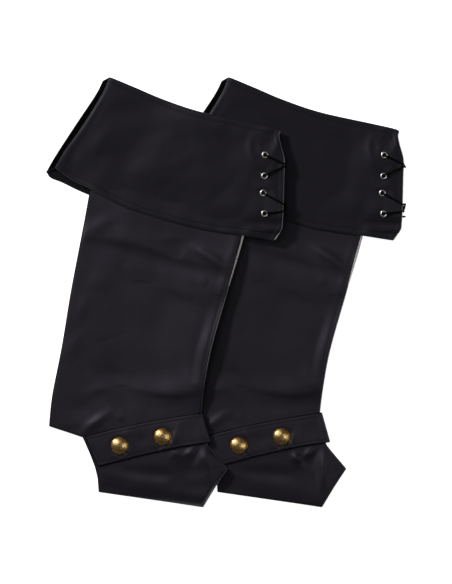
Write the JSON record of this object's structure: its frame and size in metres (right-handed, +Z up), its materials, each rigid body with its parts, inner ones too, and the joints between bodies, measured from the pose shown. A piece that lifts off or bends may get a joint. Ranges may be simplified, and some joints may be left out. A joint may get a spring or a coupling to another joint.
{
  "type": "pair of boot covers",
  "caption": "Pair of faux leather boot covers with laced bell cuffs and studded ankle straps, laid flat one partly over the other.",
  "frame": {"origin": "centre of the footprint, on the surface the covers lie on", "axes": "+Y from the toes towards the cuffs, +X from the heel side to the shin side, +Z up out of the surface"},
  "size_m": [0.4325, 0.5146, 0.0255],
  "materials": {
    "left_leg_far": "black coated faux leather, semi-gloss grain",
    "left_leg_near": "black coated faux leather, semi-gloss grain",
    "left_cuff_far": "black coated faux leather, semi-gloss grain",
    "left_cuff_near": "black coated faux leather, semi-gloss grain",
    "left_strap": "black coated faux leather, two layers, topstitched",
    "left_stud_heel": "antiqued, dark in the hollows",
    "left_stud_shin": "antiqued, dark in the hollows",
    "left_eyelet_near_1": "nickel plated, bright",
    "left_eyelet_far_1": "nickel plated, bright",
    "left_eyelet_near_2": "nickel plated, bright",
    "left_eyelet_far_2": "nickel plated, bright",
    "left_eyelet_near_3": "nickel plated, bright",
    "left_eyelet_far_3": "nickel plated, bright",
    "left_eyelet_near_4": "nickel plated, bright",
    "left_eyelet_far_4": "nickel plated, bright",
    "left_lace": "black waxed round cord",
    "right_leg_far": "black coated faux leather, semi-gloss grain",
    "right_leg_near": "black coated faux leather, semi-gloss grain",
    "right_cuff_far": "black coated faux leather, semi-gloss grain",
    "right_cuff_near": "black coated faux leather, semi-gloss grain",
    "right_strap": "black coated faux leather, two layers, topstitched",
    "right_stud_heel": "antiqued, dark in the hollows",
    "right_stud_shin": "antiqued, dark in the hollows",
    "right_eyelet_near_1": "nickel plated, bright",
    "right_eyelet_far_1": "nickel plated, bright",
    "right_eyelet_near_2": "nickel plated, bright",
    "right_eyelet_far_2": "nickel plated, bright",
    "right_eyelet_near_3": "nickel plated, bright",
    "right_eyelet_far_3": "nickel plated, bright",
    "right_eyelet_near_4": "nickel plated, bright",
    "right_eyelet_far_4": "nickel plated, bright",
    "right_lace": "black waxed round cord"
  },
  "bodies": {
    "root": {"left_leg_far": "left_leg_far", "left_leg_near": "left_leg_near", "left_cuff_far": "left_cuff_far", "left_cuff_near": "left_cuff_near", "left_strap": "left_strap", "left_stud_heel": "left_stud_heel", "left_stud_shin": "left_stud_shin", "left_eyelet_near_1": "left_eyelet_near_1", "left_eyelet_far_1": "left_eyelet_far_1", "left_eyelet_near_2": "left_eyelet_near_2", "left_eyelet_far_2": "left_eyelet_far_2", "left_eyelet_near_3": "left_eyelet_near_3", "left_eyelet_far_3": "left_eyelet_far_3", "left_eyelet_near_4": "left_eyelet_near_4", "left_eyelet_far_4": "left_eyelet_far_4", "left_lace": "left_lace", "right_leg_far": "right_leg_far", "right_leg_near": "right_leg_near", "right_cuff_far": "right_cuff_far", "right_cuff_near": "right_cuff_near", "right_strap": "right_strap", "right_stud_heel": "right_stud_heel", "right_stud_shin": "right_stud_shin", "right_eyelet_near_1": "right_eyelet_near_1", "right_eyelet_far_1": "right_eyelet_far_1", "right_eyelet_near_2": "right_eyelet_near_2", "right_eyelet_far_2": "right_eyelet_far_2", "right_eyelet_near_3": "right_eyelet_near_3", "right_eyelet_far_3": "right_eyelet_far_3", "right_eyelet_near_4": "right_eyelet_near_4", "right_eyelet_far_4": "right_eyelet_far_4", "right_lace": "right_lace"}
  },
  "joints": []
}
